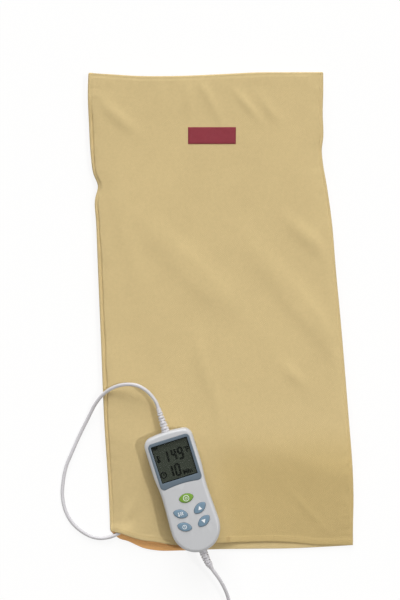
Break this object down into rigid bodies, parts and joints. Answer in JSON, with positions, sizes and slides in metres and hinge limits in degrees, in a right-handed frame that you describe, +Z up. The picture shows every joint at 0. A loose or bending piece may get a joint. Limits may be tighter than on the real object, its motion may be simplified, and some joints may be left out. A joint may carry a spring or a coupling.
{
  "type": "heating pad with controller",
  "caption": "Electric heating pad in a removable flannel cover, with a ribbed hand controller that has a display and soft keys, its lead, and a mains cord with plug.",
  "frame": {"origin": "middle of the cover, on the surface that it lies on", "axes": "+Y along the pad towards the closed end of the cover, +Z up away from the surface, +X to the right seen from above"},
  "size_m": [0.4159, 0.8662, 0.0482],
  "materials": {
    "flannel": "brushed flannel",
    "label": "woven satin",
    "pad_sheet": "soft film",
    "batting": "fibre",
    "carrier": "bonded fibre",
    "heating_wire": "satin insulation",
    "cord": "satin",
    "blade": "plated",
    "housing": "satin moulded",
    "bezel": "satin",
    "window": "clear, dark behind",
    "display": "satin",
    "pale_part": "matte",
    "green_key": "satin",
    "blue_key": "satin",
    "dark_part": "matte",
    "board": "solder mask",
    "screw": "zinc plated",
    "capacitor": "dipped"
  },
  "bodies": {
    "pad": {"pad_upper_sheet": "pad_sheet", "pad_lower_sheet": "pad_sheet", "batting": "batting", "heater_carrier": "carrier", "heating_wire": "heating_wire", "thermal_cutout_1": "dark_part", "thermal_cutout_2": "dark_part", "lead_gland": "cord", "controller_lead": "cord", "mains_cord": "cord", "mains_cord_coil": "cord", "plug_body": "cord", "plug_blade_1": "blade", "plug_blade_2": "blade"},
    "cover": {"cover_front": "flannel", "cover_back": "flannel", "cover_label": "label"},
    "controller": {"front_shell": "housing", "rear_shell": "housing", "display_bezel": "bezel", "display_window": "window", "lcd_panel": "display", "lcd_holder": "pale_part", "power_switch": "dark_part", "temperature_switch": "dark_part", "timer_switch": "dark_part", "up_switch": "dark_part", "down_switch": "dark_part", "circuit_board": "board", "case_screw_1": "screw", "case_screw_2": "screw", "case_screw_3": "screw", "case_screw_4": "screw", "triac": "dark_part", "film_capacitor": "capacitor", "fuse": "pale_part", "microcontroller": "dark_part", "buzzer": "dark_part", "upper_strain_relief": "cord", "lower_strain_relief": "cord"},
    "power_key": {"power_button": "green_key"},
    "temperature_key": {"temperature_button": "blue_key"},
    "timer_key": {"timer_button": "blue_key"},
    "up_key": {"up_button": "blue_key"},
    "down_key": {"down_button": "blue_key"}
  },
  "joints": [
    {"name": "cover_slide", "type": "slide", "parent": "pad", "child": "cover", "axis": [0, 1, 0], "range_m": [0, 0.7], "deforming": ["cover_front"]},
    {"name": "controller_lift", "type": "slide", "parent": "pad", "child": "controller", "axis": [0, 0, 1], "range_m": [0, 0.06]},
    {"name": "power_press", "type": "slide", "parent": "controller", "child": "power_key", "axis": [0, 0, -1], "range_m": [0, 0.0008], "stiffness_N_per_m": 800, "springref_m": -0.001},
    {"name": "temperature_press", "type": "slide", "parent": "controller", "child": "temperature_key", "axis": [0, 0, -1], "range_m": [0, 0.0008], "stiffness_N_per_m": 800, "springref_m": -0.001},
    {"name": "timer_press", "type": "slide", "parent": "controller", "child": "timer_key", "axis": [0, 0, -1], "range_m": [0, 0.0008], "stiffness_N_per_m": 800, "springref_m": -0.001},
    {"name": "up_press", "type": "slide", "parent": "controller", "child": "up_key", "axis": [0, 0, -1], "range_m": [0, 0.0008], "stiffness_N_per_m": 800, "springref_m": -0.001},
    {"name": "down_press", "type": "slide", "parent": "controller", "child": "down_key", "axis": [0, 0, -1], "range_m": [0, 0.0008], "stiffness_N_per_m": 800, "springref_m": -0.001}
  ]
}
